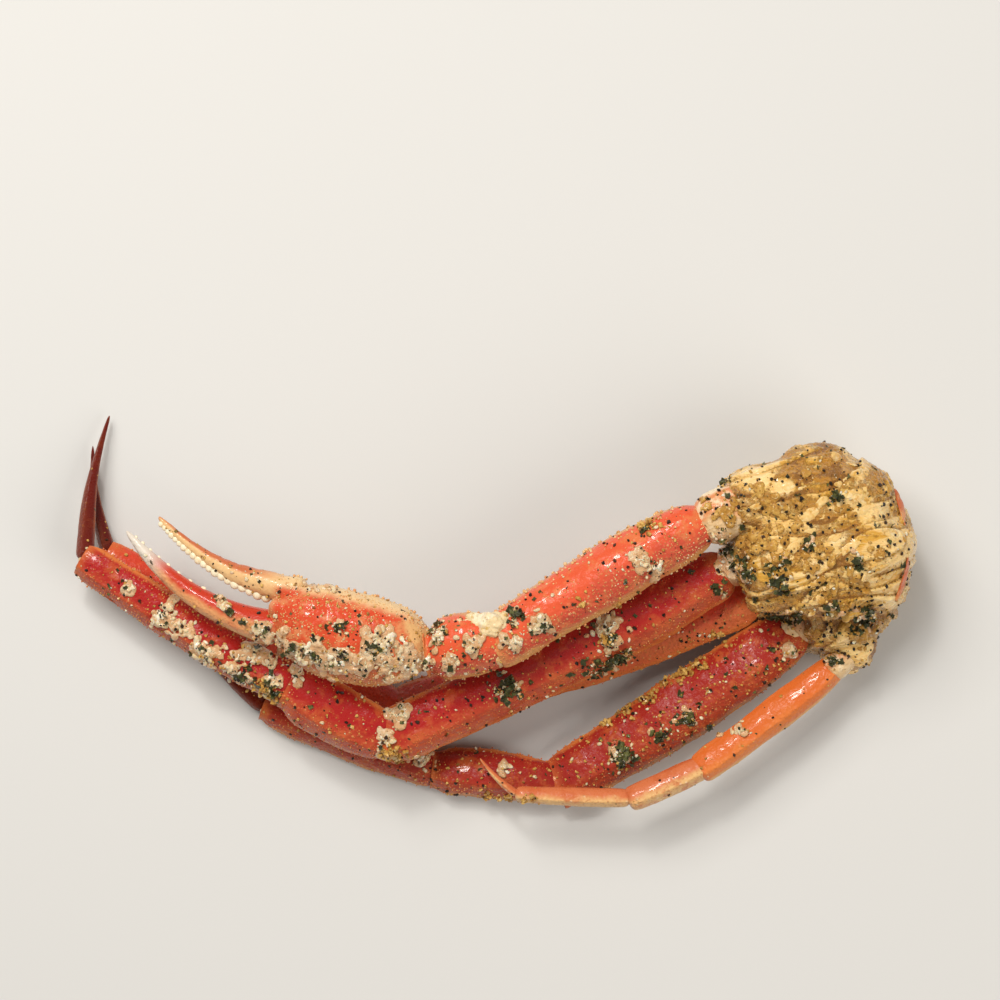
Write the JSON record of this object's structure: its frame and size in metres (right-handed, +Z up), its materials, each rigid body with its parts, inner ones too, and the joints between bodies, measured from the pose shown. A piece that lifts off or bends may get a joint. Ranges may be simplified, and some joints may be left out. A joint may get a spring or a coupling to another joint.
{
  "type": "snow crab cluster",
  "caption": "Cooked snow crab cluster lying flat: shoulder meat with an open claw arm and folded walking legs, dressed with garlic, herbs and pepper.",
  "frame": {"origin": "on the ground under the middle of the cluster's box", "axes": "+Z up, +X from the knees and claw tips to the shoulder, +Y to the side where the claw lies"},
  "size_m": [0.2372, 0.1115, 0.0394],
  "materials": {
    "cooked_shell": "glossy cooked crab shell, red with an orange granular texture, wet with butter",
    "claw_shell": "glossy cooked crab shell, orange red above and cream below, wet with butter",
    "shoulder_meat": "moist fibrous cream meat and thin shell walls under yellow seasoning",
    "garlic_butter": "soft chopped garlic in melted butter, cream white and slightly see-through",
    "seasoning_crumbs": "coarse ochre crumbs of dried garlic and spice",
    "green_herbs": "dark green chopped parsley, wet and crinkled",
    "black_pepper": "cracked black pepper",
    "joint_membrane": "wet cream membrane and tendon in the joints"
  },
  "bodies": {
    "root": {"shoulder": "shoulder_meat", "claw_basis": "claw_shell", "claw_merus": "claw_shell", "claw_carpus": "claw_shell", "claw_palm": "claw_shell", "claw_finger": "claw_shell", "leg_1_basis": "cooked_shell", "leg_1_merus": "cooked_shell", "leg_1_carpus": "cooked_shell", "leg_1_propodus": "cooked_shell", "leg_1_dactyl": "cooked_shell", "leg_2_basis": "cooked_shell", "leg_2_merus": "cooked_shell", "leg_2_carpus": "cooked_shell", "leg_2_propodus": "cooked_shell", "leg_2_dactyl": "cooked_shell", "leg_3_basis": "cooked_shell", "leg_3_merus": "cooked_shell", "leg_3_carpus": "cooked_shell", "leg_3_propodus": "cooked_shell", "leg_3_dactyl": "cooked_shell", "leg_4_basis": "claw_shell", "leg_4_merus": "claw_shell", "leg_4_carpus": "claw_shell", "leg_4_propodus": "claw_shell", "leg_4_dactyl": "claw_shell"}
  },
  "joints": []
}
